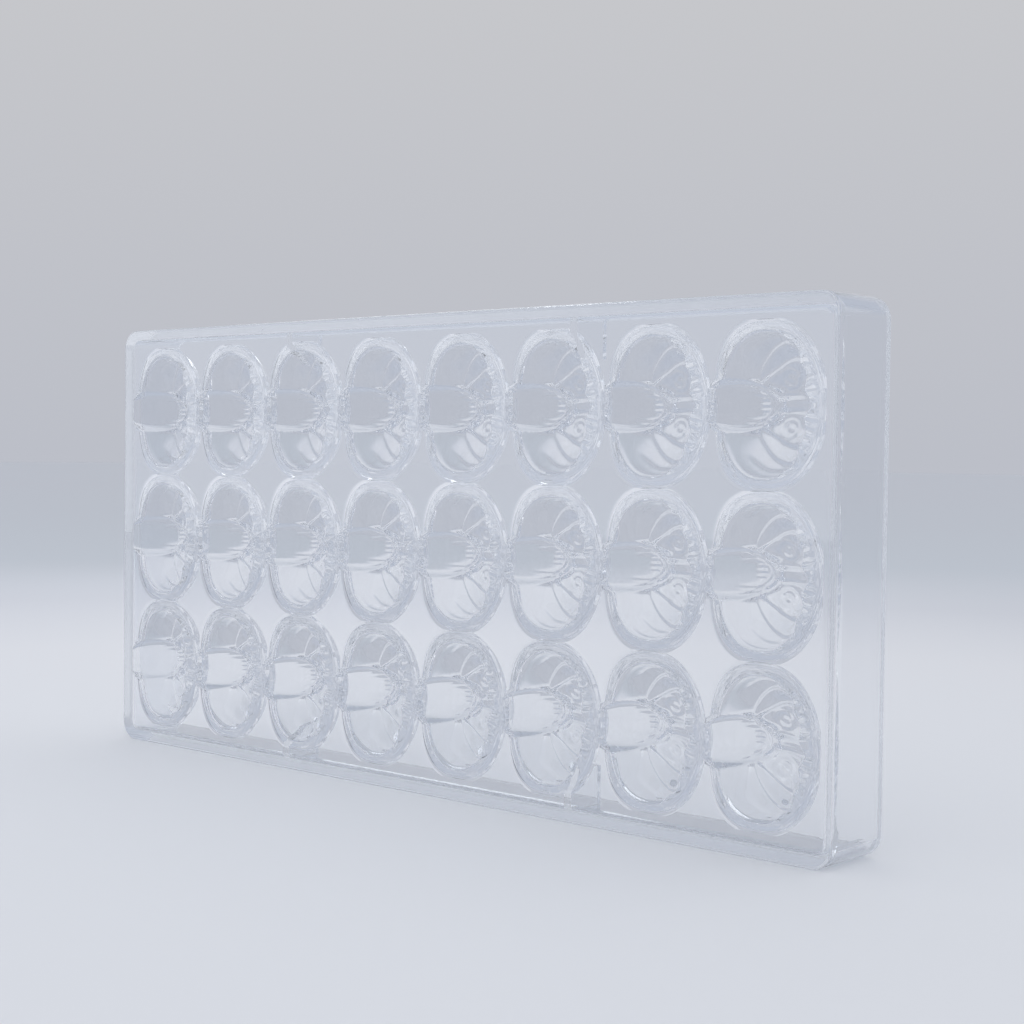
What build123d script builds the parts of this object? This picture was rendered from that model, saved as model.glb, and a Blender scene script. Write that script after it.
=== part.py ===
from build123d import *
from math import cos, radians, sin
import os

# A one-piece polycarbonate chocolate mould with 24 relief cavities, in millimetres.
# Each region is drawn lying flat: X along the length, Y across, the deck face at Z = 0, depth downwards.
# At the end it is stood on its long edge: the mouths face -Y, and the rows go up in Z.

# Deck and skirt
height = 22.0
deck_thickness = 3.0
skirt_thickness = 3.0
corner_radius = 6.0
deck_edge_radius = 0.8

# Grid of cavities, and the plain deck left round it
columns = 8
rows = 3
column_pitch = 33.2
row_pitch = 41.0
left_border = 4.8
right_border = 4.6
side_border = 6.0

# Mouth of a cavity: a squarish oval with a small nose towards +X
mouth_half_length = 12.0
mouth_half_width = 17.7
mouth_squareness = 2.3
mouth_sides = 20
nose_reach = 1.3

# Inside form of a cavity: a full dome that leans back, so that its tail side is the steeper one
dome_depth = 12.0
dome_lean = 7.5
dome_fullness = 0.6
dome_sizes = (1.0, 0.968, 0.86, 0.64, 0.32)

# Tongue channel on the tail side: it runs from a lobe in the mouth to a round tip deeper than the dome
lobe_reach = 16.0
lobe_half_width = 5.4
lobe_corner = 2.0
tongue_depth = 16.5
tongue_reach = 10.5
tongue_half_width = 3.0
tongue_corner = 1.6
tip_reach = 7.1
tip_slope_end = 2.0

# Cup round a cavity, at its root under the deck: an egg, blunt at the tail and longer at the nose
cup_half_width = 20.0
cup_tail_length = 15.2
cup_tail_squareness = 2.8
cup_nose_length = 16.0
cup_nose_squareness = 2.1
cup_fullness = 0.5
cup_sizes = (1.0, 0.93, 0.8, 0.6, 0.32)
cup_top_wall = 2.0
lobe_wall = 1.8

# Stiffening webs under the deck, one line of them towards each end
web_thickness = 2.5
web_depth = 12.0
web_offset = 56.0

# Sizes that follow from the ones above
grid_length = columns * column_pitch
grid_width = rows * row_pitch
length = left_border + grid_length + right_border
width = grid_width + 2 * side_border
grid_left = left_border - length / 2
straight_length = length - 2 * corner_radius


def facets(rings):
    """Solid with plane sides between rings of points, which have one shape at different sizes."""
    faces = [Face(Wire.make_polygon(rings[0])), Face(Wire.make_polygon(rings[-1]))]
    for upper, lower in zip(rings, rings[1:]):
        for i in range(len(upper)):
            side = [upper[i - 1], upper[i], lower[i], lower[i - 1]]
            faces.append(Face(Wire.make_polygon(side)))
    return Solid(Shell(faces))


def squarish(turn, half_length, half_width, squareness):
    """Distance from the centre to the edge of a squarish oval, in the direction turn."""
    along = abs(cos(turn) / half_length) ** squareness
    across = abs(sin(turn) / half_width) ** squareness
    return (along + across) ** (-1 / squareness)


def mouth_reach(turn):
    """Distance from the centre to the mouth's edge, with the nose at its front."""
    reach = squarish(turn, mouth_half_length, mouth_half_width, mouth_squareness)
    return reach + nose_reach if turn == 0 else reach


def cup_reach(turn):
    """Distance from the centre to the cup's root."""
    if cos(turn) > 0:
        return squarish(turn, cup_nose_length, cup_half_width, cup_nose_squareness)
    return squarish(turn, cup_tail_length, cup_half_width, cup_tail_squareness)


def leaning_ring(reach_at, size, depth):
    """An outline at a share of its size and at one depth, leaning back as it shrinks."""
    shift = (size - 1) * dome_lean
    points = []
    for i in range(mouth_sides):
        turn = radians(360 * i / mouth_sides)
        reach = size * reach_at(turn)
        points.append((shift + reach * cos(turn), reach * sin(turn), -depth))
    return points


def depth_share(size, flat_size, fullness):
    """How much of a dome's depth is reached where its outline has shrunk to size."""
    return ((1 - size**2) / (1 - flat_size**2)) ** fullness


def dome():
    """Leaning dome inside a cavity."""
    rings = []
    for size in dome_sizes:
        depth = dome_depth * depth_share(size, dome_sizes[-1], dome_fullness)
        rings.append(leaning_ring(mouth_reach, size, depth))
    return facets(rings)


def cup_dome():
    """Outside of the dome, solid through, from the deck face to its flat top."""
    rise = dome_depth + cup_top_wall - deck_thickness
    rings = [leaning_ring(cup_reach, 1, 0)]
    for size in cup_sizes:
        depth = deck_thickness + rise * depth_share(size, cup_sizes[-1], cup_fullness)
        rings.append(leaning_ring(cup_reach, size, depth))
    return facets(rings)


def lobe(start, end, half_width, corner, depth):
    """Outline of the tongue at one depth, from X = start to X = end, with its corners cut."""
    side = half_width - corner
    return [
        (start, side, -depth),
        (start + corner, half_width, -depth),
        (end - corner, half_width, -depth),
        (end, side, -depth),
        (end, -side, -depth),
        (end - corner, -half_width, -depth),
        (start + corner, -half_width, -depth),
        (start, -side, -depth),
    ]


def tongue(wall, top_wall):
    """Tapered channel on the tail side of a cavity, or its outer skin where the walls are above 0."""
    mouth_end = lobe(-lobe_reach - wall, wall - tip_slope_end, lobe_half_width + wall, lobe_corner, 0)
    depth = tongue_depth + top_wall
    deep_end = lobe(-tongue_reach - wall, wall - tip_reach, tongue_half_width + wall, tongue_corner, depth)
    return facets([mouth_end, deep_end])


def cup_skin():
    """Outside form of a cup, solid through, kept inside its own cell."""
    cell_space = Box(column_pitch, row_pitch, 2 * height)
    return (cup_dome() + tongue(lobe_wall, cup_top_wall)) & cell_space


def cavity_cell(skin):
    """One cell of the grid: its tile of deck with the relief cup under it, centred on the origin."""
    tile = Box(column_pitch, row_pitch, deck_thickness, align=(Align.CENTER, Align.CENTER, Align.MAX))
    cavity = dome() + tongue(0, 0)
    return tile + skin - cavity


def rim_ring():
    """Border of the deck with the skirt under it, in one ring round the grid."""
    down = -height
    outside = extrude(RectangleRounded(length, width, corner_radius), amount=down)
    outside = fillet(outside.faces().sort_by(Axis.Z)[-1].edges(), deck_edge_radius)
    room = RectangleRounded(
        length - 2 * skirt_thickness,
        width - 2 * skirt_thickness,
        corner_radius - skirt_thickness,
    )
    pocket = Pos(0, 0, -deck_thickness) * extrude(room, amount=down)
    return outside - pocket - grid_box()


def grid_box():
    """Space of the grid of cells, through the whole height."""
    corner = (Align.MIN, Align.CENTER, Align.CENTER)
    return Pos(grid_left, 0, 0) * Box(grid_length, grid_width, 3 * height, align=corner)


def end_piece(ring, side):
    """One end of the ring with its two rounded corners, side being -1 or 1."""
    beyond = Align.MAX if side < 0 else Align.MIN
    room = Box(length, 2 * width, 3 * height, align=(beyond, Align.CENTER, Align.CENTER))
    return ring & Pos(side * straight_length / 2, 0, 0) * room


def long_piece(ring, side):
    """The straight wall between the ends, on one long side, side being -1 or 1."""
    beyond = Align.MAX if side < 0 else Align.MIN
    return ring & Box(straight_length, width, 3 * height, align=(Align.CENTER, beyond, Align.CENTER))


def cell_place(row, column):
    """Place of a cell's centre, row 0 being the top one and column 0 the left one."""
    x = grid_left + (column + 0.5) * column_pitch
    y = ((rows - 1) / 2 - row) * row_pitch
    return Pos(x, y, 0)


def web_line(skin, x):
    """Webs of one line, from skirt to skirt, cut away where the cups stand."""
    top = (Align.CENTER, Align.CENTER, Align.MAX)
    line = Pos(x, 0, -deck_thickness) * Box(web_thickness, width - 2 * skirt_thickness, web_depth, align=top)
    for row in range(rows):
        for column in range(columns):
            place = cell_place(row, column)
            if abs(place.position.X - x) < column_pitch:
                line -= place * skin
    return line


def stand(shape):
    """The mould's standing place, on its bottom long side."""
    return Pos(0, -height / 2, width / 2) * Rot(90, 0, 0) * shape


os.makedirs("parts", exist_ok=True)
skin = cup_skin()
cell = cavity_cell(skin)
for row in range(rows):
    for column in range(columns):
        name = f"cavity_r{row + 1}_c{column + 1}"
        export_step(stand(cell_place(row, column) * cell), f"parts/{name}.step")

ring = rim_ring()
export_step(stand(end_piece(ring, -1)), "parts/end_wall_left.step")
export_step(stand(end_piece(ring, 1)), "parts/end_wall_right.step")
export_step(stand(long_piece(ring, 1)), "parts/long_wall_top.step")
export_step(stand(long_piece(ring, -1)), "parts/long_wall_bottom.step")

export_step(stand(web_line(skin, -web_offset)), "parts/rib_line_left.step")
export_step(stand(web_line(skin, web_offset)), "parts/rib_line_right.step")
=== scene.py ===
import math

import bmesh
import bpy
import numpy as np
from mathutils import Matrix, Vector


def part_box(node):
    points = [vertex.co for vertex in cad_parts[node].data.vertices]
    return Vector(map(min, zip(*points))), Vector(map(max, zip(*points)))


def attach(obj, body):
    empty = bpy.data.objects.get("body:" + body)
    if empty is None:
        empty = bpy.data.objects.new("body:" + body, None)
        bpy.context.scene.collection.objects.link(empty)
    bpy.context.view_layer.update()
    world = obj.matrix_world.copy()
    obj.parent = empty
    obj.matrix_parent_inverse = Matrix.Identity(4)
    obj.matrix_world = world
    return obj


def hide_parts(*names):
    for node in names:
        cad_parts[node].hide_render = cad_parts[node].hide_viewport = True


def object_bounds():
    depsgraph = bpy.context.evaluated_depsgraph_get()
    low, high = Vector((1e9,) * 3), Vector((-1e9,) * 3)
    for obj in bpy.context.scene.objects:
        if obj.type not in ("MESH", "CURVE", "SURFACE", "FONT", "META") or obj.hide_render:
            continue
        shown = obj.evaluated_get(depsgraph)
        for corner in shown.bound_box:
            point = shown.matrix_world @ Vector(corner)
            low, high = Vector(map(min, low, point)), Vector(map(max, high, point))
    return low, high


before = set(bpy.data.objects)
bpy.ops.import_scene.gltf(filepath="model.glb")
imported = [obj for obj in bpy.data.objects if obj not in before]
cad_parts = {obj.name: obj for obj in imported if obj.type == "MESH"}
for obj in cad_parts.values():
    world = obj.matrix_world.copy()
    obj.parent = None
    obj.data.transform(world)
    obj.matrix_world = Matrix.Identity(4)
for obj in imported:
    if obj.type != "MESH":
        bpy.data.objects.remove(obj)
cad_low, cad_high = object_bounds()

# Sizes in millimetres, as the mold is built. A cell is drawn in (u, v, d): u along the length from the
# centre of the mouth's oval, v upwards from it, and d the depth behind the deck face.
MM = 0.001
COLUMNS, ROWS = 8, 3
WEB_LINES = {3: "rib_line_left", 6: "rib_line_right"}
WEB_THICKNESS = 2.5
WEB_END_DEPTH = 9.0
WEB_STEP = 0.4
DECK_THICKNESS = 3.0
SKIRT_THICKNESS = 3.0
CORNER_RADIUS = 6.0
EDGE_RADIUS = 0.8
ROOT_RADIUS = 1.6

# Mouth and inside form of a cavity. The scallops are between the two angles, which count from the nose.
MOUTH_HALF_LENGTH = 12.0
MOUTH_HALF_WIDTH = 17.7
SQUARENESS = 2.3
NOSE_REACH = 1.3
NOSE_ANGLE = 0.13
SCALLOP, SCALLOP_PEAK, SCALLOP_PITCH = 0.55, 6.6, 6.4
SCALLOP_SWING, SCALLOP_SINK = 1.8, 1.1
SCALLOP_FIRST, SCALLOP_LAST = 0.12, 1.35
SCALLOP_EASE_IN, SCALLOP_EASE_OUT = 0.13, 0.2
LEAN = 7.5
DOME_DEPTH = 12.0
DOME_FULLNESS = 0.6
LIP_RADIUS = 0.35

# Tongue channel: a round-bottomed trough from the tail end of the mouth to an arched tip on the dome
LOBE_REACH = 16.0
TAIL_HALF_WIDTH = 3.8
TONGUE_SPREAD = 0.6
TONGUE_HALF_WIDTH = 6.9
TONGUE_TAIL_RUN = 5.8
TONGUE_DEPTH = 16.5
TONGUE_START = -17.0
TONGUE_LENGTH = 17.6
TONGUE_SQUARENESS = 2.25
TONGUE_BOTTOM, TONGUE_FULLNESS = 3, 0.42
TONGUE_BLEND, TONGUE_SIDE_BLEND, TONGUE_TAIL_BLEND = 2.5, 1.0, 3.0
TONGUE_LEAST_HALF_WIDTH = 0.5
LOBE_EDGE_DEPTH = 0.2

# Carving: crescents (peak v, peak u, bend, power, rise), eyes, nose ridge, ridges round the tongue's tip, and
# the flutes inside it. A START is where a form begins along u, and a FULL where it has its whole height.
CRESCENTS = ((9.9, 5.0, 0.116, 1.53, 1.3), (13.9, 5.5, 0.0162, 2.39, 1.3), (15.7, 0.4, 0.085, 1.81, 0.5))
CRESCENT_STEP, CRESCENT_SLOPE = 0.6, 2.1
CRESCENT_START, CRESCENT_FULL = -9.0, -5.5
CARVING_LIFT = 0.5
CARVING_LEAST_DEPTH, CARVING_FULL_DEPTH = 1.0, 4.0
EYE_U, EYE_V = 2.0, 6.0
EYE_STRETCH = 0.7
EYE_RING, EYE_RING_RISE, EYE_RING_WIDTH = 2.0, 0.4, 0.5
PUPIL_RISE, PUPIL_WIDTH = 0.6, 0.9
NOSE_START, NOSE_FULL = -4.2, -2.2
NOSE_RISE, NOSE_HALF_WIDTH, NOSE_CORE = 0.6, 1.65, 0.75
GROOVE_DEPTH, GROOVE_OFFSET, GROOVE_WIDTH = 0.3, 0.3, 0.4
TIP_RIDGES = (0.58, 0.74)
TIP_RIDGE_RISE, TIP_RIDGE_WIDTH = 0.55, 0.055
TIP_RIDGE_START, TIP_RIDGE_FULL = -13.0, -10.5
FLUTE_RISE, FLUTE_PITCH = 0.3, 1.4
FLUTE_FULL_SIDE, FLUTE_LAST_SIDE = 1.6, 2.2
FLUTE_START, FLUTE_FULL, FLUTE_FADE, FLUTE_END = -11.0, -10.0, -8.4, -7.4

# Outside form of the cup: an egg, blunt at the tail and longer at the nose
ROOT_HALF_WIDTH = 20.0
ROOT_TAIL_LENGTH, ROOT_TAIL_SQUARENESS = 15.2, 2.8
ROOT_NOSE_LENGTH, ROOT_NOSE_SQUARENESS = 16.0, 2.1
ROOT_NOSE_REACH, ROOT_NOSE_ANGLE = 0.45, 0.22
CUP_FULLNESS = 0.5
CUP_FALL = 20.0
CUP_TOP_WALL = 2.0
LOBE_WALL = 1.8
CUP_LOBE_BLEND = 1.5
CUP_ROOT_BLEND = 1.6
ROOT_FLAT, ROOT_FILLET_SHARES = 0.96, (0.7, 0.45, 0.25, 0.1)
ROOT_MOST_ROOM, ROOT_LEAST_ROOM = 1.2, 0.12

# Mesh counts of a cell: points in a ring, and rings towards the middle, which lie closer near the edge
AROUND = 192
INNER_RINGS = 56
OUTER_RINGS = 20
RING_SPACING = 1.25
SEARCH_STEPS = 40
LARGEST_SIZE = 1.6
SMALLEST_LOBE, LARGEST_LOBE = 2.5, 30.0
LOBE_LAST_U = -2.0
ARC_STEPS = 4
SHARP_ANGLE = 50
FLAT_NORMAL = 0.99999

# Places along the depth, and how far one shape reaches into another before they are merged
DECK_FACE = -11.0
RIM_FACE = 11.0
OVERLAP = 0.3
WALL_OVERLAP = 0.5

# Slots of a mesh
PLASTIC_SLOT, JOINT_SLOT, SATIN_PAINTED_SHADE_SLOT = 0, 1, 2

# Floor, in metres: it lies just under the mold, and its glossy faces show it up to this far in front
FLOOR_HALF_SIZE = 9.0
FLOOR_LEVEL = -0.00005
FLOOR_SEEN_IN_GLOSS = 1.2
FLOOR_ROUGHNESS, FLOOR_SPECULAR = 0.7, 0.2

# Colours in sRGB of 0 to 255, with the place of each in its ramp: on the floor by distance from the mold, a
# painted fall-off of light that is lighter near the mold, and in the world by height, as the eye and glossy
# faces see it and as the plastic lets it pass
FLOOR_PAINTED_FALLOFF_TONES = (
    (0.0, (218, 220, 226)),
    (0.10, (212, 213, 219)),
    (0.17, (198, 200, 208)),
    (0.275, (191, 196, 205)),
    (0.5, (190, 194, 203)),
    (1.0, (190, 193, 202)),
)
FLOOR_PAINTED_FALLOFF_REACH = 4.0
SEEN_TONES = (
    (0.0, (188, 191, 200)),
    (0.1, (192, 194, 201)),
    (0.24, (198, 199, 203)),
    (0.5, (200, 203, 210)),
    (1.0, (206, 210, 219)),
)
PASSED_TONES = (
    (0.0, (187, 191, 201)),
    (0.12, (189, 193, 203)),
    (0.28, (184, 190, 203)),
    (0.5, (182, 189, 203)),
    (1.0, (188, 195, 209)),
)
FRONT_TONE = (234, 240, 252)

# Y parts of a glossy ray's direction between which the front tone takes over from the others
FRONT_START, FRONT_FULL = 0.1, -0.8

# The plastic: tints, linear, refractive index, least and most roughness, and the fineness of its unevenness
CLEAR_TINT = (0.962, 0.97, 0.983, 1)
# The satin tint is darker than the clear one: painted shade for the thin dark line along the rear rim face
SATIN_PAINTED_SHADE_TINT = (0.8, 0.82, 0.85, 1)
SHADOW_TINT = (0.975, 0.98, 0.985, 1)
REFRACTIVE_INDEX = 1.585
CLEAR_ROUGHNESS = (0.015, 0.045)
SATIN_ROUGHNESS = (0.25, 0.35)
CLOUD_SCALE, CLOUD_DETAIL = 160.0, 3.0

# Plain light that falls on the surfaces, linear
SKY_LIGHT = (0.93, 0.95, 0.97, 1)

# Soft lamps: name, place in metres, width and height in metres, watts
LAMPS = (
    ("back_left_softbox", (-0.63, 0.58, 0.40), 0.3, 0.2, 0.5),
    ("glint_lamp", (-0.68, -0.07, 1.05), 0.12, 0.12, 0.45),
    ("right_softbox", (0.8, -0.5, 0.6), 0.3, 0.3, 0.3),
    ("front_softbox", (-0.75, -0.85, 0.31), 1.1, 0.6, 1.7),
)
LAMP_COLOUR = (0.94, 0.97, 1.0)
LAMP_AIM = (0, 0, 0.07)

# Camera: place in millimetres, yaw, pitch down and roll in degrees, and its lens
CAMERA_PLACE = (358.9, -366.8, 96.7)
CAMERA_TURNS = (42.17, 1.92, 0.68)
FOCAL_PIXELS, PICTURE_PIXELS = 1798.0, 1024
SENSOR_WIDTH = 36.0


def link(name, mesh):
    """New object of the scene with that mesh."""
    piece = bpy.data.objects.new(name, mesh)
    bpy.context.scene.collection.objects.link(piece)
    return piece


def superellipse(turn, half_length, half_width, squareness):
    """Distance from the centre to a squarish oval at each angle."""
    along = np.abs(np.cos(turn) / half_length) ** squareness
    across = np.abs(np.sin(turn) / half_width) ** squareness
    return (along + across) ** (-1 / squareness)


def mouth_reach(turn):
    """Outline of the mouth with its nose, and the scallops in which the carved bands end beside it."""
    reach = superellipse(turn, MOUTH_HALF_LENGTH, MOUTH_HALF_WIDTH, SQUARENESS)
    side = np.abs((turn + math.pi) % (2 * math.pi) - math.pi)
    nose = NOSE_REACH * np.exp(-((side / NOSE_ANGLE) ** 2))
    wave = np.abs(np.cos(math.pi * (reach * np.sin(side) - SCALLOP_PEAK) / SCALLOP_PITCH))
    scallops = SCALLOP * (SCALLOP_SWING * wave - SCALLOP_SINK)
    scallops *= ramp(side, SCALLOP_FIRST, SCALLOP_FIRST + SCALLOP_EASE_IN)
    scallops *= ramp(-side, -SCALLOP_LAST, SCALLOP_EASE_OUT - SCALLOP_LAST)
    return reach + nose + scallops


def root_reach(turn):
    """Outline of the cup where it leaves the back of the deck."""
    tail = superellipse(turn, ROOT_TAIL_LENGTH, ROOT_HALF_WIDTH, ROOT_TAIL_SQUARENESS)
    nose = superellipse(turn, ROOT_NOSE_LENGTH, ROOT_HALF_WIDTH, ROOT_NOSE_SQUARENESS)
    side = (turn + math.pi) % (2 * math.pi) - math.pi
    bulge = ROOT_NOSE_REACH * np.exp(-((side / ROOT_NOSE_ANGLE) ** 2))
    return np.where(np.cos(turn) > 0, nose, tail) + bulge


def ramp(value, start, end):
    """Smooth step from 0 at start to 1 at end."""
    share = np.clip((value - start) / (end - start), 0, 1)
    return share * share * (3 - 2 * share)


def oval_size(u, v, outline):
    """Share of the outline at which each point lies on the leaning dome: 1 at its edge, 0 at its top."""
    low, high = np.zeros_like(u), np.full_like(u, LARGEST_SIZE)
    for _ in range(SEARCH_STEPS):
        size = (low + high) / 2
        centre = -(1 - size) * LEAN
        inside = np.hypot(u - centre, v) < size * outline(np.arctan2(v, u - centre))
        high = np.where(inside, size, high)
        low = np.where(inside, low, size)
    return (low + high) / 2


def smooth_max(a, b, blend):
    """The greater of two values, rounded over where they differ by less than blend."""
    near = np.maximum(blend - np.abs(a - b), 0) / blend
    return np.maximum(a, b) + near**2 * blend / 4


def smooth_min(a, b, blend):
    """The lesser of two values, rounded in the same way."""
    return -smooth_max(-a, -b, blend)


def dome(u, v):
    """Depth of the cavity's leaning dome at each point of the plan."""
    size = np.minimum(oval_size(u, v, mouth_reach), 1)
    return DOME_DEPTH * (1 - size**2) ** DOME_FULLNESS


def cup_dome(u, v):
    """Depth of the outside of that dome, running on down past its root."""
    size = oval_size(u, v, root_reach)
    rise = DOME_DEPTH + CUP_TOP_WALL - DECK_THICKNESS
    dome_part = rise * (1 - np.minimum(size, 1) ** 2) ** CUP_FULLNESS
    return DECK_THICKNESS + dome_part - CUP_FALL * np.maximum(size - 1, 0)


def tongue_size(u, v, wall):
    """Share of the tongue's outline at which each point lies: 0 along its middle, 1 at its edge."""
    spread = TAIL_HALF_WIDTH + TONGUE_SPREAD * (u + LOBE_REACH)
    half_width = smooth_min(spread, TONGUE_HALF_WIDTH, TONGUE_SIDE_BLEND)
    along = np.maximum(u - TONGUE_START, 0) / (TONGUE_LENGTH + wall)
    across = np.abs(v) / np.maximum(half_width + wall, TONGUE_LEAST_HALF_WIDTH)
    return (along**TONGUE_SQUARENESS + across**TONGUE_SQUARENESS) ** (1 / TONGUE_SQUARENESS)


def tongue(u, v, wall, top_wall):
    """Depth of the tongue channel at each point of the plan."""
    deep = TONGUE_DEPTH + top_wall
    share = np.maximum(1 - tongue_size(u, v, wall) ** TONGUE_BOTTOM, 0)
    trough = deep * share**TONGUE_FULLNESS
    tail = (u + LOBE_REACH + wall) * deep / TONGUE_TAIL_RUN
    return smooth_min(tail, trough, TONGUE_TAIL_BLEND)


def lobe_reach(turn, wall, depth):
    """Outline of the tongue channel at one depth, from the oval's centre."""
    low, high = np.zeros_like(turn), np.full_like(turn, LARGEST_LOBE)
    for _ in range(SEARCH_STEPS):
        reach = (low + high) / 2
        u, v = reach * np.cos(turn), reach * np.sin(turn)
        inside = (tongue(u, v, wall, 0) > depth) & (u < LOBE_LAST_U)
        inside |= reach < SMALLEST_LOBE
        low = np.where(inside, reach, low)
        high = np.where(inside, high, reach)
    return np.where(np.cos(turn) < 0, low, 0)


def relief(u, v):
    """Height of the carving above the inside form, towards the mouth."""
    side = np.abs(v - CARVING_LIFT)
    height = np.zeros_like(u)
    for peak_v, peak_u, bend, power, rise in CRESCENTS:
        before = np.maximum(peak_u - u, 0)
        line = peak_v - bend * before**power
        slope = bend * power * before ** (power - 1)
        away = (side - line) / np.hypot(1, slope)
        bump = np.exp(-((away / np.where(away > 0, CRESCENT_STEP, CRESCENT_SLOPE)) ** 2))
        height += rise * bump * ramp(u, CRESCENT_START, CRESCENT_FULL)
    eye = np.hypot((u - EYE_U) * EYE_STRETCH, side - EYE_V)
    eye_ring = np.exp(-(((eye - EYE_RING) / EYE_RING_WIDTH) ** 2))
    height += EYE_RING_RISE * eye_ring + PUPIL_RISE * np.exp(-((eye / PUPIL_WIDTH) ** 2))
    nose = np.exp(-((side / (NOSE_CORE * NOSE_HALF_WIDTH)) ** 4))
    groove = np.exp(-(((side - NOSE_HALF_WIDTH - GROOVE_OFFSET) / GROOVE_WIDTH) ** 2))
    height += (NOSE_RISE * nose - GROOVE_DEPTH * groove) * ramp(u, NOSE_START, NOSE_FULL)
    size = tongue_size(u, v, 0)
    for share in TIP_RIDGES:
        bump = np.exp(-(((size - share) / TIP_RIDGE_WIDTH) ** 2))
        height += TIP_RIDGE_RISE * bump * ramp(u, TIP_RIDGE_START, TIP_RIDGE_FULL)
    flutes = FLUTE_RISE * np.cos(side * 2 * math.pi / FLUTE_PITCH)
    flutes *= ramp(-side, -FLUTE_LAST_SIDE, -FLUTE_FULL_SIDE)
    height += flutes * ramp(u, FLUTE_START, FLUTE_FULL) * ramp(-u, -FLUTE_END, -FLUTE_FADE)
    return height


def inside_depth(u, v):
    """Depth of the carved inside of a cavity."""
    base = smooth_max(dome(u, v), tongue(u, v, 0, 0), TONGUE_BLEND)
    deep_enough = ramp(base, CARVING_LEAST_DEPTH, CARVING_FULL_DEPTH)
    return np.maximum(base - relief(u, v) * deep_enough, 0)


def outside_depth(u, v):
    """Depth of the back of the deck, with the cup on it."""
    cup = smooth_max(cup_dome(u, v), tongue(u, v, LOBE_WALL, CUP_TOP_WALL), CUP_LOBE_BLEND)
    return smooth_max(cup, DECK_THICKNESS, CUP_ROOT_BLEND)


def cell_outline(turn):
    """Border of a cell in the plan, seen from the oval's centre, with its corners on points of the ring."""
    low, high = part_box("cavity_r1_c1")
    half_u, half_v = (high.x - low.x) / MM / 2, (high.z - low.z) / MM / 2
    u, v = np.cos(turn), np.sin(turn)
    reach = np.minimum(half_u / np.maximum(np.abs(u), 1e-9), half_v / np.maximum(np.abs(v), 1e-9))
    points = np.column_stack([reach * u, reach * v])
    for corner in ((half_u, half_v), (-half_u, half_v), (-half_u, -half_v), (half_u, -half_v)):
        points[np.argmin(np.hypot(*(points - corner).T))] = corner
    return points


def level(plan, depth):
    """Points (u, v, d) of a ring from its plan and its depth, or the depth of each point."""
    return np.column_stack([plan, np.broadcast_to(depth, len(plan))])


def closing_rings(edge, depth_at, first, count):
    """Rings from an edge in to the middle of the leaning dome, and that middle as a last point."""
    centre = np.array([[-LEAN, 0.0]])
    rings = []
    for i in range(first, count):
        share = 1 - (i / count) ** RING_SPACING
        plan = centre + share * (edge - centre)
        rings.append(level(plan, depth_at(*plan.T)))
    rings.append(level(centre, depth_at(*centre.T)))
    return rings


def front_rings(turn, ray, border):
    """The front of a field: deck face, lip of the mouth, and the carved inside."""
    mouth = np.maximum(mouth_reach(turn), lobe_reach(turn, 0, LOBE_EDGE_DEPTH))
    rings = [level(border, 0)]
    for out, down in ((1, 0), (0.3, 0.3), (0, 1)):
        rings.append(level(ray * (mouth + LIP_RADIUS * out)[:, None], LIP_RADIUS * down))

    def below_lip(u, v):
        return np.maximum(inside_depth(u, v), LIP_RADIUS)

    return rings + closing_rings(ray * mouth[:, None], below_lip, 1, INNER_RINGS)


def back_rings(turn, ray, border):
    """The back of a field: back of the deck, fillet at the cup's root, and the cup."""
    border_reach = np.hypot(*border.T)
    root = np.maximum(root_reach(turn), lobe_reach(turn, LOBE_WALL, DECK_THICKNESS))
    root = np.minimum(root, border_reach - ROOT_LEAST_ROOM)
    room = np.minimum(border_reach - root, ROOT_MOST_ROOM)
    flat = ray * (root + ROOT_FLAT * room)[:, None]
    rings = [level(border, DECK_THICKNESS), level(flat, DECK_THICKNESS)]
    for share in ROOT_FILLET_SHARES:
        plan = ray * (root + room * share)[:, None]
        rings.append(level(plan, outside_depth(*plan.T)))
    return rings + closing_rings(ray * root[:, None], outside_depth, 0, OUTER_RINGS)


def cell_mesh():
    """One field of the mold: deck with mouth, relief cavity and cup, closed where it meets its neighbours."""
    turn = 2 * math.pi * np.arange(AROUND) / AROUND
    ray = np.column_stack([np.cos(turn), np.sin(turn)])
    border = cell_outline(turn)
    front, back = front_rings(turn, ray, border), back_rings(turn, ray, border)
    points = np.vstack(front + back)
    faces, materials, smooth = [], [], []

    def band(a, b, slot=PLASTIC_SLOT, round_face=True):
        """Faces between the ring that starts at point a and the one that starts at point b."""
        for i in range(AROUND):
            j = (i + 1) % AROUND
            faces.append((a + i, a + j, b + j, b + i))
        materials.extend([slot] * AROUND)
        smooth.extend([round_face] * AROUND)

    def fan(ring_start, middle, outward):
        """Faces between the innermost ring and the middle point."""
        for i in range(AROUND):
            pair = (ring_start + i, ring_start + (i + 1) % AROUND)
            faces.append((*(pair if outward else pair[::-1]), middle))
        materials.extend([PLASTIC_SLOT] * AROUND)
        smooth.extend([True] * AROUND)

    front_count, back_count = len(front) - 1, len(back) - 1
    for k in range(front_count - 1):
        band(k * AROUND, (k + 1) * AROUND, round_face=k > 0)
    front_middle = front_count * AROUND
    fan(front_middle - AROUND, front_middle, True)
    back_start = front_middle + 1
    for k in range(back_count - 1):
        band(back_start + (k + 1) * AROUND, back_start + k * AROUND, round_face=k > 0)
    fan(back_start + (back_count - 1) * AROUND, len(points) - 1, False)
    band(back_start, 0, JOINT_SLOT, round_face=False)

    mesh = bpy.data.meshes.new("cell")
    mesh.from_pydata(in_world(points), [], faces)
    mesh.polygons.foreach_set("material_index", materials)
    mesh.polygons.foreach_set("use_smooth", smooth)
    fill_slots(mesh, plastic, joint)
    mesh.update()
    return mesh


def fill_slots(mesh, *materials):
    """Gives a mesh its materials, in the order of the slots."""
    for material in materials:
        mesh.materials.append(material)


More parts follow.
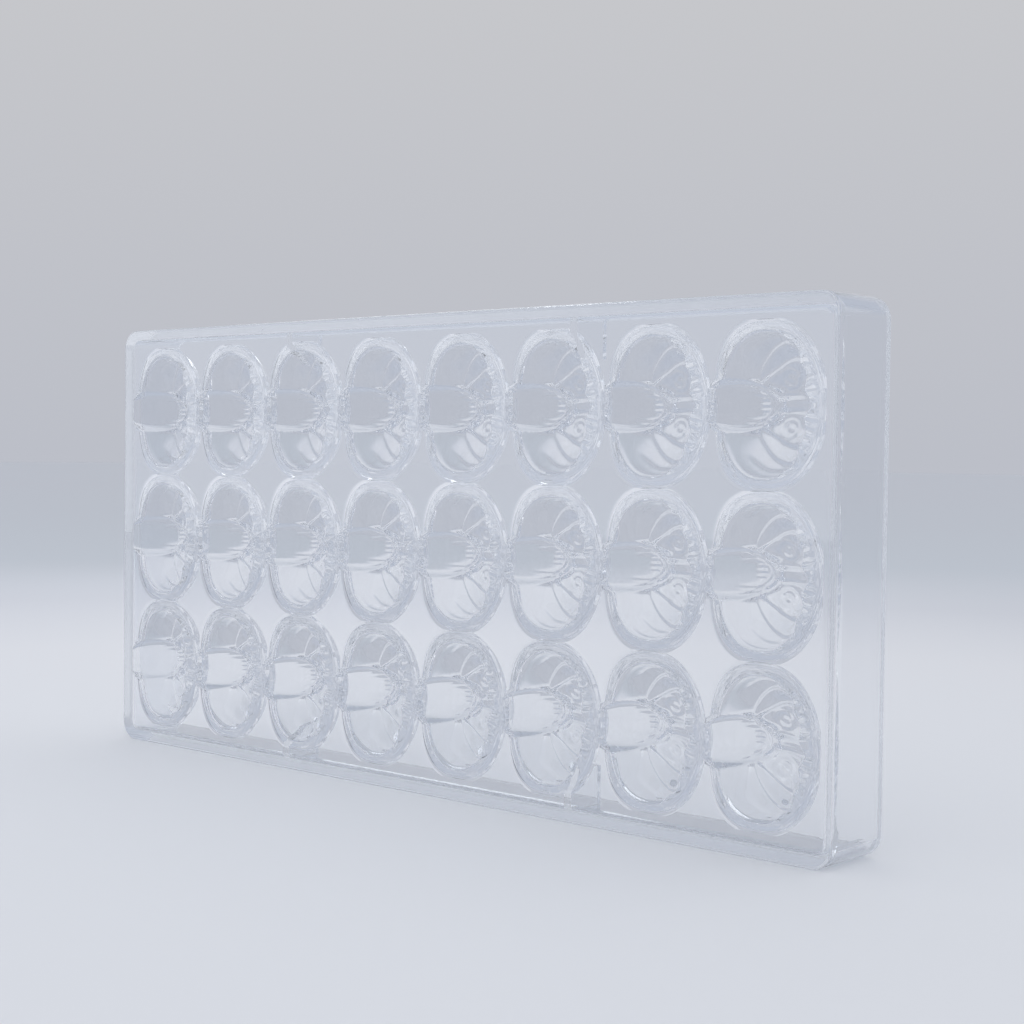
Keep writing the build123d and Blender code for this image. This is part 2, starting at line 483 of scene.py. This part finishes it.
def in_world(points):
    """Rows of (u, v, d) as metres in the mold's frame, still centred on their cell."""
    u, v, d = np.asarray(points, dtype=float).T
    return (np.column_stack([u, d + DECK_FACE, v]) * MM).tolist()


def prism(rows, joint_ends):
    """Closed strip through rows of four points each; its ends are joint faces where joint_ends says so."""
    faces = [(3, 2, 1, 0), tuple(4 * (len(rows) - 1) + i for i in range(4))]
    materials = [JOINT_SLOT if end else PLASTIC_SLOT for end in joint_ends]
    for k in range(len(rows) - 1):
        for i in range(4):
            j = (i + 1) % 4
            faces.append((4 * k + i, 4 * k + j, 4 * k + 4 + j, 4 * k + 4 + i))
            materials.append(PLASTIC_SLOT)
    mesh = bpy.data.meshes.new("web")
    mesh.from_pydata(in_world([point for row in rows for point in row]), [], faces)
    mesh.polygons.foreach_set("material_index", materials)
    fill_slots(mesh, plastic, joint)
    shape = bmesh.new()
    shape.from_mesh(mesh)
    bmesh.ops.recalc_face_normals(shape, faces=shape.faces)
    shape.to_mesh(mesh)
    shape.free()
    return mesh


def merged(mesh, tools):
    """The mesh with other closed meshes moulded onto it. Faces along the main axes are shaded flat."""
    piece = link("merge_work", mesh)
    helpers = []
    for tool in tools:
        helper = link("merge_tool", tool)
        helpers.append(helper)
        union = piece.modifiers.new("union", "BOOLEAN")
        union.operation = "UNION"
        union.solver = "EXACT"
        union.object = helper
    depsgraph = bpy.context.evaluated_depsgraph_get()
    result = bpy.data.meshes.new_from_object(piece.evaluated_get(depsgraph))
    for item in [piece] + helpers:
        bpy.data.objects.remove(item)
    result.set_sharp_from_angle(angle=math.radians(SHARP_ANGLE))
    for face in result.polygons:
        face.use_smooth = max(abs(part) for part in face.normal) < FLAT_NORMAL
    return result


def web_section(left, right, along, foot):
    """Four points of a web's cross-section, from its foot under the deck or on a cup to its free edge."""
    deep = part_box("rib_line_left")[1].y / MM - DECK_FACE
    return [(left, along, foot), (right, along, foot), (right, along, deep), (left, along, deep)]


def web_tool(u, side):
    """A stiffening web along the line u of a cell, from its upper or lower border to where the cup is steep."""
    low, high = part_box("cavity_r1_c1")
    half_v = (high.z - low.z) / MM / 2
    left, right = u - WEB_THICKNESS / 2, u + WEB_THICKNESS / 2
    rows = []
    for v in side * np.arange(half_v, 0, -WEB_STEP):
        across = np.linspace(left, right, 5)
        foot = float(np.min(outside_depth(across, np.full(5, v)))) - OVERLAP
        if foot > WEB_END_DEPTH:
            break
        rows.append(web_section(left, right, v, foot))
    return prism(rows, (True, False))


def grid_corners():
    """Lowest and highest corners of the grid of cells."""
    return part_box("cavity_r3_c1")[0] / MM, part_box("cavity_r1_c8")[1] / MM


def web_stubs(x):
    """The ends of a web line, from the grid of cells into the two long walls."""
    low, high = cad_low / MM, cad_high / MM
    grid_low, grid_high = grid_corners()
    left, right = x - WEB_THICKNESS / 2, x + WEB_THICKNESS / 2
    bottom = (low.z + SKIRT_THICKNESS - WALL_OVERLAP, grid_low.z)
    top = (high.z - SKIRT_THICKNESS + WALL_OVERLAP, grid_high.z)
    tools = []
    for heights in (bottom, top):
        rows = [web_section(left, right, z, DECK_THICKNESS - OVERLAP) for z in heights]
        tools.append(prism(rows, (False, True)))
    return tools


def rounded_outline(low_x, high_x, low_z, high_z, radius, count=8):
    """Rounded rectangle as a ring of points, each corner an arc of count + 1 points."""
    points = []
    corners = ((high_x, high_z, 0), (low_x, high_z, 1), (low_x, low_z, 2), (high_x, low_z, 3))
    for x, z, quarter in corners:
        centre_x = x + (radius if x == low_x else -radius)
        centre_z = z + (radius if z == low_z else -radius)
        for i in range(count + 1):
            turn = math.pi / 2 * (quarter + i / count)
            points.append((centre_x + radius * math.cos(turn), centre_z + radius * math.sin(turn)))
    return points


def rim_mesh():
    """Border of the deck and the skirt, one closed ring round the grid of cells."""
    low, high = cad_low / MM, cad_high / MM
    grid_low, grid_high = grid_corners()
    back = DECK_FACE + DECK_THICKNESS

    def ring(inset, y):
        radius = max(CORNER_RADIUS - inset, 0.5)
        outline = rounded_outline(low.x + inset, high.x - inset, low.z + inset, high.z - inset, radius)
        return [(x, y, z) for x, z in outline]

    def grid_ring(y):
        outline = rounded_outline(grid_low.x, grid_high.x, grid_low.z, grid_high.z, 0.0)
        return [(x, y, z) for x, z in outline]

    def arc(inset, y, radius):
        """Rings round an edge, which is radius away from inset and y at the ends of the arc."""
        for i in range(ARC_STEPS + 1):
            turn = math.pi / 2 * i / ARC_STEPS
            yield ring(inset + radius * (1 - math.cos(turn)), y + radius * (1 - math.sin(turn)))

    outer_edge = list(arc(0, DECK_FACE, EDGE_RADIUS))[::-1]
    inner_root = list(arc(SKIRT_THICKNESS, back, ROOT_RADIUS))
    rim = [ring(0, RIM_FACE), ring(SKIRT_THICKNESS, RIM_FACE)]
    rings = [grid_ring(DECK_FACE), *outer_edge, *rim, *inner_root, grid_ring(back)]
    slots = [PLASTIC_SLOT] * len(rings)
    # The rear rim face gets the satin plastic, whose darker tint is painted shade along that edge
    slots[rings.index(rim[0])] = SATIN_PAINTED_SHADE_SLOT
    slots[-1] = JOINT_SLOT
    count = len(rings[0])
    points = [point for ring_points in rings for point in ring_points]
    faces, materials = [], []
    for k, slot in enumerate(slots):
        a, b = k * count, (k + 1) % len(rings) * count
        for i in range(count):
            j = (i + 1) % count
            faces.append((a + i, b + i, b + j, a + j))
        materials.extend([slot] * count)
    mesh = bpy.data.meshes.new("rim")
    mesh.from_pydata((np.array(points) * MM).tolist(), [], faces)
    mesh.polygons.foreach_set("material_index", materials)
    mesh.polygons.foreach_set("use_smooth", [True] * len(faces))
    fill_slots(mesh, plastic, joint, satin_painted_shade)
    shape = bmesh.new()
    shape.from_mesh(mesh)
    bmesh.ops.remove_doubles(shape, verts=shape.verts, dist=0.001 * MM)
    shape.to_mesh(mesh)
    shape.free()
    return mesh


def mix_shaders(nodes, links, factor, first, second):
    """The first shader where the factor is 0, and the second where it is 1."""
    choice = nodes.new("ShaderNodeMixShader")
    links.new(factor, choice.inputs["Fac"])
    links.new(first, choice.inputs[1])
    links.new(second, choice.inputs[2])
    return choice.outputs["Shader"]


def combine(nodes, links, operation, first, second):
    """Result of a math node on two outputs."""
    node = nodes.new("ShaderNodeMath")
    node.operation = operation
    links.new(first, node.inputs[0])
    links.new(second, node.inputs[1])
    return node.outputs["Value"]


def clear_plastic(name, tint, roughness):
    """Clear polycarbonate with a faint cold tint and the small unevenness of a moulded face."""
    material = bpy.data.materials.new(name)
    material.use_nodes = True
    nodes, links = material.node_tree.nodes, material.node_tree.links
    shader = nodes["Principled BSDF"]
    shader.inputs["Base Color"].default_value = tint
    shader.inputs["Transmission Weight"].default_value = 1.0
    shader.inputs["IOR"].default_value = REFRACTIVE_INDEX
    place = nodes.new("ShaderNodeTexCoord")
    cloud = nodes.new("ShaderNodeTexNoise")
    cloud.inputs["Scale"].default_value = CLOUD_SCALE
    cloud.inputs["Detail"].default_value = CLOUD_DETAIL
    links.new(place.outputs["Object"], cloud.inputs["Vector"])
    rough = nodes.new("ShaderNodeMapRange")
    rough.inputs["To Min"].default_value, rough.inputs["To Max"].default_value = roughness
    links.new(cloud.outputs["Fac"], rough.inputs["Value"])
    links.new(rough.outputs["Result"], shader.inputs["Roughness"])
    path = nodes.new("ShaderNodeLightPath")
    passing = nodes.new("ShaderNodeBsdfTransparent")
    passing.inputs["Color"].default_value = SHADOW_TINT
    surface = mix_shaders(
        nodes, links, path.outputs["Is Shadow Ray"], shader.outputs["BSDF"], passing.outputs["BSDF"]
    )
    links.new(surface, nodes["Material Output"].inputs["Surface"])
    return material


def joint_face():
    """Faces where two fields of the one moulding meet: light passes as through unbroken plastic."""
    material = bpy.data.materials.new("unbroken_plastic")
    material.use_nodes = True
    nodes, links = material.node_tree.nodes, material.node_tree.links
    nodes.remove(nodes["Principled BSDF"])
    clear = nodes.new("ShaderNodeBsdfTransparent")
    links.new(clear.outputs["BSDF"], nodes["Material Output"].inputs["Surface"])
    return material


plastic = clear_plastic("clear_polycarbonate", CLEAR_TINT, CLEAR_ROUGHNESS)
# Satin plastic for the rear rim: a rough finish, and a darker tint that is painted shade
satin_painted_shade = clear_plastic("satin_polycarbonate_painted_shade", SATIN_PAINTED_SHADE_TINT, SATIN_ROUGHNESS)
joint = joint_face()


def middle_x(node):
    """Middle of a node along the length, in metres."""
    low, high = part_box(node)
    return (low.x + high.x) / 2


def build_cells():
    """A piece for each cell, with the web moulded onto it where a web line meets it."""
    plain = cell_mesh()
    with_web = {}
    for column, line in WEB_LINES.items():
        u = (middle_x(line) - middle_x(f"cavity_r1_c{column}")) / MM
        with_web[1, column] = merged(plain, [web_tool(u, 1)])
        with_web[ROWS, column] = merged(plain, [web_tool(u, -1)])
    for row in range(1, ROWS + 1):
        for column in range(1, COLUMNS + 1):
            node = f"cavity_r{row}_c{column}"
            low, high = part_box(node)
            piece = link(f"cell_r{row}_c{column}", with_web.get((row, column), plain))
            piece.location = ((low.x + high.x) / 2, 0, (low.z + high.z) / 2)
            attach(piece, "root")
            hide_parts(node)
            if (row, column) in with_web:
                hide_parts(WEB_LINES[column])


def build_rim():
    """One piece for the border and the skirt, with the ends of the web lines."""
    stubs = []
    for line in WEB_LINES.values():
        stubs += web_stubs(middle_x(line) / MM)
    rim = link("deck_border_and_skirt", merged(rim_mesh(), stubs))
    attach(rim, "root")
    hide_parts("end_wall_left", "end_wall_right", "long_wall_top", "long_wall_bottom")
    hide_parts("rib_line_left", "rib_line_right")


def shade(colour):
    """sRGB colour of 0 to 255 as a linear one."""
    parts = [c / 255 for c in colour]
    return [p / 12.92 if p <= 0.04045 else ((p + 0.055) / 1.055) ** 2.4 for p in parts] + [1]


def colour_ramp(nodes, stops):
    """Colour ramp through stops of a position and a colour."""
    ramp_node = nodes.new("ShaderNodeValToRGB")
    elements = ramp_node.color_ramp.elements
    while len(elements) < len(stops):
        elements.new(0.5)
    for element, (position, colour) in zip(elements, stops):
        element.position = position
        element.color = shade(colour)
    return ramp_node


def pale_floor():
    """Floor painted lighter near the mold and darker away from it, a painted fall-off of light, and that glossy
    faces see only near it.
    """
    material = bpy.data.materials.new("pale_floor")
    material.use_nodes = True
    nodes, links = material.node_tree.nodes, material.node_tree.links
    shader = nodes["Principled BSDF"]
    shader.inputs["Roughness"].default_value = FLOOR_ROUGHNESS
    shader.inputs["Specular IOR Level"].default_value = FLOOR_SPECULAR
    place = nodes.new("ShaderNodeTexCoord")
    length = nodes.new("ShaderNodeVectorMath")
    length.operation = "LENGTH"
    share = nodes.new("ShaderNodeMapRange")
    share.inputs["From Max"].default_value = FLOOR_PAINTED_FALLOFF_REACH
    # Base colour painted lighter near the mold and darker away from it: painted light that fades with distance
    painted_falloff_ramp = colour_ramp(nodes, FLOOR_PAINTED_FALLOFF_TONES)
    links.new(place.outputs["Object"], length.inputs[0])
    links.new(length.outputs["Value"], share.inputs["Value"])
    links.new(share.outputs["Result"], painted_falloff_ramp.inputs["Fac"])
    links.new(painted_falloff_ramp.outputs["Color"], shader.inputs["Base Color"])
    parts = nodes.new("ShaderNodeSeparateXYZ")
    links.new(place.outputs["Object"], parts.inputs["Vector"])
    far_front = nodes.new("ShaderNodeMath")
    far_front.operation = "LESS_THAN"
    far_front.inputs[1].default_value = -FLOOR_SEEN_IN_GLOSS
    links.new(parts.outputs["Y"], far_front.inputs[0])
    path = nodes.new("ShaderNodeLightPath")
    skipped = combine(nodes, links, "MULTIPLY", far_front.outputs["Value"], path.outputs["Is Glossy Ray"])
    nothing = nodes.new("ShaderNodeBsdfTransparent")
    surface = mix_shaders(nodes, links, skipped, shader.outputs["BSDF"], nothing.outputs["BSDF"])
    links.new(surface, nodes["Material Output"].inputs["Surface"])
    return material


def stage_floor():
    """Pale floor under the mold, which keeps its shadow, with a painted fall-off of light away from the mold.
    """
    size, level_z = FLOOR_HALF_SIZE, FLOOR_LEVEL
    corners = [(-size, -size, level_z), (size, -size, level_z), (size, size, level_z), (-size, size, level_z)]
    mesh = bpy.data.meshes.new("floor")
    mesh.from_pydata(corners, [], [(0, 1, 2, 3)])
    mesh.materials.append(pale_floor())
    link("floor", mesh)


def studio_world():
    """Plain white light for the surfaces, and a grey-blue backdrop that the eye and the plastic see."""
    world = bpy.data.worlds.new("studio")
    bpy.context.scene.world = world
    world.use_nodes = True
    nodes, links = world.node_tree.nodes, world.node_tree.links
    plain = nodes["Background"]
    plain.inputs["Color"].default_value = SKY_LIGHT
    place = nodes.new("ShaderNodeTexCoord")
    parts = nodes.new("ShaderNodeSeparateXYZ")
    links.new(place.outputs["Generated"], parts.inputs["Vector"])
    height = colour_ramp(nodes, SEEN_TONES)
    links.new(parts.outputs["Z"], height.inputs["Fac"])
    front = nodes.new("ShaderNodeMapRange")
    front.inputs["From Min"].default_value = FRONT_START
    front.inputs["From Max"].default_value = FRONT_FULL
    links.new(parts.outputs["Y"], front.inputs["Value"])
    path = nodes.new("ShaderNodeLightPath")
    in_gloss = combine(nodes, links, "MULTIPLY", front.outputs["Result"], path.outputs["Is Glossy Ray"])
    blend = nodes.new("ShaderNodeMix")
    blend.data_type = "RGBA"
    blend.inputs["B"].default_value = shade(FRONT_TONE)
    links.new(height.outputs["Color"], blend.inputs["A"])
    links.new(in_gloss, blend.inputs["Factor"])
    seen = nodes.new("ShaderNodeBackground")
    links.new(blend.outputs["Result"], seen.inputs["Color"])
    through = colour_ramp(nodes, PASSED_TONES)
    links.new(parts.outputs["Z"], through.inputs["Fac"])
    passed = nodes.new("ShaderNodeBackground")
    links.new(through.outputs["Color"], passed.inputs["Color"])
    direct = combine(nodes, links, "MAXIMUM", path.outputs["Is Camera Ray"], path.outputs["Is Glossy Ray"])
    light = mix_shaders(nodes, links, direct, plain.outputs["Background"], seen.outputs["Background"])
    light = mix_shaders(nodes, links, path.outputs["Is Transmission Ray"], light, passed.outputs["Background"])
    links.new(light, nodes["World Output"].inputs["Surface"])


def soft_lamps():
    """Soft lamps that show as sheen and glints on the plastic, and not through it."""
    for name, place, width, height, power in LAMPS:
        lamp = bpy.data.lights.new(name, "AREA")
        lamp.shape = "RECTANGLE"
        lamp.size = width
        lamp.size_y = height
        lamp.energy = power
        lamp.color = LAMP_COLOUR
        holder = bpy.data.objects.new(name, lamp)
        holder.location = place
        aim = Vector(LAMP_AIM) - Vector(place)
        holder.rotation_mode = "QUATERNION"
        holder.rotation_quaternion = aim.to_track_quat("-Z", "Y")
        holder.visible_camera = False
        holder.visible_transmission = False
        bpy.context.scene.collection.objects.link(holder)


def camera():
    """The photograph's viewpoint, in the mold's own frame."""
    yaw, pitch, roll = (math.radians(angle) for angle in CAMERA_TURNS)
    level_part = math.cos(pitch)
    ahead = Vector((-math.sin(yaw) * level_part, math.cos(yaw) * level_part, -math.sin(pitch)))
    right = Vector((math.cos(yaw), math.sin(yaw), 0))
    up = right.cross(ahead)
    tilted_right = math.cos(roll) * right + math.sin(roll) * up
    tilted_up = math.cos(roll) * up - math.sin(roll) * right
    turned = Matrix((tilted_right, tilted_up, -ahead)).transposed().to_4x4()
    lens = bpy.data.cameras.new("camera")
    lens.sensor_width = SENSOR_WIDTH
    lens.lens = FOCAL_PIXELS / PICTURE_PIXELS * SENSOR_WIDTH
    lens.clip_start = 0.01
    holder = bpy.data.objects.new("camera", lens)
    holder.matrix_world = Matrix.Translation(Vector(CAMERA_PLACE) * MM) @ turned
    bpy.context.scene.collection.objects.link(holder)
    bpy.context.scene.camera = holder


def light_paths():
    """Enough bounces for light to get through several walls of clear plastic."""
    cycles = bpy.context.scene.cycles
    cycles.max_bounces = 32
    cycles.transmission_bounces = 32
    cycles.glossy_bounces = 24
    cycles.transparent_max_bounces = 48


build_cells()
build_rim()
stage_floor()
studio_world()
soft_lamps()
camera()
light_paths()
bpy.context.scene.view_settings.view_transform = "Standard"
